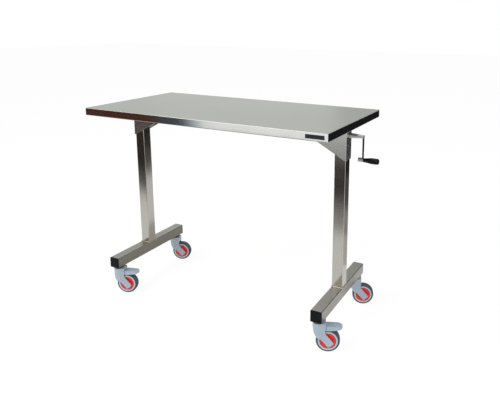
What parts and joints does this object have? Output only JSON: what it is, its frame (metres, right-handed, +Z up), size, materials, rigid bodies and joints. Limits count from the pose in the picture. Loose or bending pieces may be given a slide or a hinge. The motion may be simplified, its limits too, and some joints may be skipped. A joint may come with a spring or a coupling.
{
  "type": "height-adjustable veterinary exam table",
  "caption": "Stainless steel exam table on telescopic columns; a hand crank lifts the top through a cross shaft, mitre gears and screws, and swivel casters carry the feet.",
  "frame": {"origin": "on the floor, under the middle of the whole outline with the crank included", "axes": "+X along the long edge towards the crank, +Y towards the edge without brake pedals, +Z up"},
  "size_m": [1.2992, 0.6, 0.936],
  "materials": {
    "satin_steel": "satin ground stainless steel sheet",
    "tube_steel": "brushed stainless steel tube",
    "chrome": "bright plated steel",
    "drive_steel": "machined, lightly oiled steel",
    "bronze": "turned bronze",
    "cast_aluminium": "as cast",
    "board": "sealed core board",
    "black_plastic": "moulded, fine grain",
    "white_plastic": "moulded slide plastic",
    "caster_plastic": "moulded blue-grey",
    "ring_plastic": "moulded light grey",
    "red_plastic": "moulded red",
    "tyre": "grey non-marking rubber"
  },
  "bodies": {
    "left_base": {"left_foot_tube": "tube_steel", "left_foot_cap_front": "black_plastic", "left_foot_cap_rear": "black_plastic", "left_column_tube": "tube_steel", "left_upper_glide": "white_plastic", "left_nut_post": "drive_steel", "left_lift_nut": "bronze", "left_front_caster_stem": "drive_steel", "left_rear_caster_stem": "drive_steel"},
    "top": {"tabletop_sheet": "satin_steel", "core_board": "board", "left_inner_tube": "tube_steel", "left_lower_glide": "white_plastic", "left_bracket": "satin_steel", "left_gear_housing": "cast_aluminium", "right_inner_tube": "tube_steel", "right_lower_glide": "white_plastic", "right_bracket": "satin_steel", "right_gear_housing": "cast_aluminium"},
    "right_base": {"right_foot_tube": "tube_steel", "right_foot_cap_front": "black_plastic", "right_foot_cap_rear": "black_plastic", "right_column_tube": "tube_steel", "right_upper_glide": "white_plastic", "right_nut_post": "drive_steel", "right_lift_nut": "bronze", "right_front_caster_stem": "drive_steel", "right_rear_caster_stem": "drive_steel"},
    "crank": {"cross_shaft": "chrome", "crank_arm": "chrome", "grip_spindle": "chrome", "left_shaft_gear": "drive_steel", "right_shaft_gear": "drive_steel"},
    "grip": {"crank_grip": "black_plastic"},
    "left_screw": {"left_lift_screw": "drive_steel", "left_screw_gear": "drive_steel"},
    "right_screw": {"right_lift_screw": "drive_steel", "right_screw_gear": "drive_steel"},
    "left_front_swivel": {"left_front_caster_fork": "caster_plastic", "left_front_wheel_axle": "drive_steel"},
    "left_front_wheel": {"left_front_wheel_disc": "red_plastic", "left_front_wheel_ring": "ring_plastic", "left_front_tyre": "tyre"},
    "left_front_pedal": {"left_front_brake_pedal": "caster_plastic"},
    "left_rear_swivel": {"left_rear_caster_fork": "caster_plastic", "left_rear_wheel_axle": "drive_steel"},
    "left_rear_wheel": {"left_rear_wheel_disc": "red_plastic", "left_rear_wheel_ring": "ring_plastic", "left_rear_tyre": "tyre"},
    "right_front_swivel": {"right_front_caster_fork": "caster_plastic", "right_front_wheel_axle": "drive_steel"},
    "right_front_wheel": {"right_front_wheel_disc": "red_plastic", "right_front_wheel_ring": "ring_plastic", "right_front_tyre": "tyre"},
    "right_front_pedal": {"right_front_brake_pedal": "caster_plastic"},
    "right_rear_swivel": {"right_rear_caster_fork": "caster_plastic", "right_rear_wheel_axle": "drive_steel"},
    "right_rear_wheel": {"right_rear_wheel_disc": "red_plastic", "right_rear_wheel_ring": "ring_plastic", "right_rear_tyre": "tyre"}
  },
  "joints": [
    {"name": "crank", "type": "hinge", "parent": "top", "child": "crank", "pos_m": [0, 0, 0.87], "axis": [1, 0, 0], "range_deg": [0, 13500]},
    {"name": "lift", "type": "slide", "parent": "left_base", "child": "top", "axis": [0, 0, 1], "range_m": [0, 0.3]},
    {"name": "right_lift", "type": "slide", "parent": "top", "child": "right_base", "axis": [0, 0, -1], "range_m": [0, 0.3]},
    {"name": "left_screw", "type": "hinge", "parent": "top", "child": "left_screw", "pos_m": [-0.58955, 0, 0.87], "axis": [0, 0, 1], "range_deg": [0, 13500]},
    {"name": "right_screw", "type": "hinge", "parent": "top", "child": "right_screw", "pos_m": [0.49045, 0, 0.87], "axis": [0, 0, 1], "range_deg": [0, 13500]},
    {"name": "grip_spin", "type": "hinge", "parent": "crank", "child": "grip", "pos_m": [0.59045, 0, 0.772], "axis": [1, 0, 0], "continuous": true},
    {"name": "left_front_swivel", "type": "hinge", "parent": "left_base", "child": "left_front_swivel", "pos_m": [-0.58955, -0.213, 0.131], "axis": [0, 0, 1], "continuous": true},
    {"name": "left_front_wheel", "type": "hinge", "parent": "left_front_swivel", "child": "left_front_wheel", "pos_m": [-0.55524, -0.19914, 0.05], "axis": [-0.3746, 0.9272, 0], "continuous": true},
    {"name": "left_front_brake", "type": "hinge", "parent": "left_front_swivel", "child": "left_front_pedal", "pos_m": [-0.57332, -0.20644, 0.11], "axis": [-0.3746, 0.9272, 0], "range_deg": [0, 10]},
    {"name": "left_rear_swivel", "type": "hinge", "parent": "left_base", "child": "left_rear_swivel", "pos_m": [-0.58955, 0.213, 0.131], "axis": [0, 0, 1], "continuous": true},
    {"name": "left_rear_wheel", "type": "hinge", "parent": "left_rear_swivel", "child": "left_rear_wheel", "pos_m": [-0.55524, 0.22686, 0.05], "axis": [-0.3746, 0.9272, 0], "continuous": true},
    {"name": "right_front_swivel", "type": "hinge", "parent": "right_base", "child": "right_front_swivel", "pos_m": [0.49045, -0.213, 0.131], "axis": [0, 0, 1], "continuous": true},
    {"name": "right_front_wheel", "type": "hinge", "parent": "right_front_swivel", "child": "right_front_wheel", "pos_m": [0.52476, -0.19914, 0.05], "axis": [-0.3746, 0.9272, 0], "continuous": true},
    {"name": "right_front_brake", "type": "hinge", "parent": "right_front_swivel", "child": "right_front_pedal", "pos_m": [0.50668, -0.20644, 0.11], "axis": [-0.3746, 0.9272, 0], "range_deg": [0, 10]},
    {"name": "right_rear_swivel", "type": "hinge", "parent": "right_base", "child": "right_rear_swivel", "pos_m": [0.49045, 0.213, 0.131], "axis": [0, 0, 1], "continuous": true},
    {"name": "right_rear_wheel", "type": "hinge", "parent": "right_rear_swivel", "child": "right_rear_wheel", "pos_m": [0.52476, 0.22686, 0.05], "axis": [-0.3746, 0.9272, 0], "continuous": true}
  ],
  "couplings": [
    {"joint": "right_lift", "follows": "lift", "ratio": 1},
    {"joint": "crank", "follows": "lift", "rad_per_m": 785.4},
    {"joint": "left_screw", "follows": "lift", "rad_per_m": 785.4},
    {"joint": "right_screw", "follows": "lift", "rad_per_m": 785.4}
  ]
}
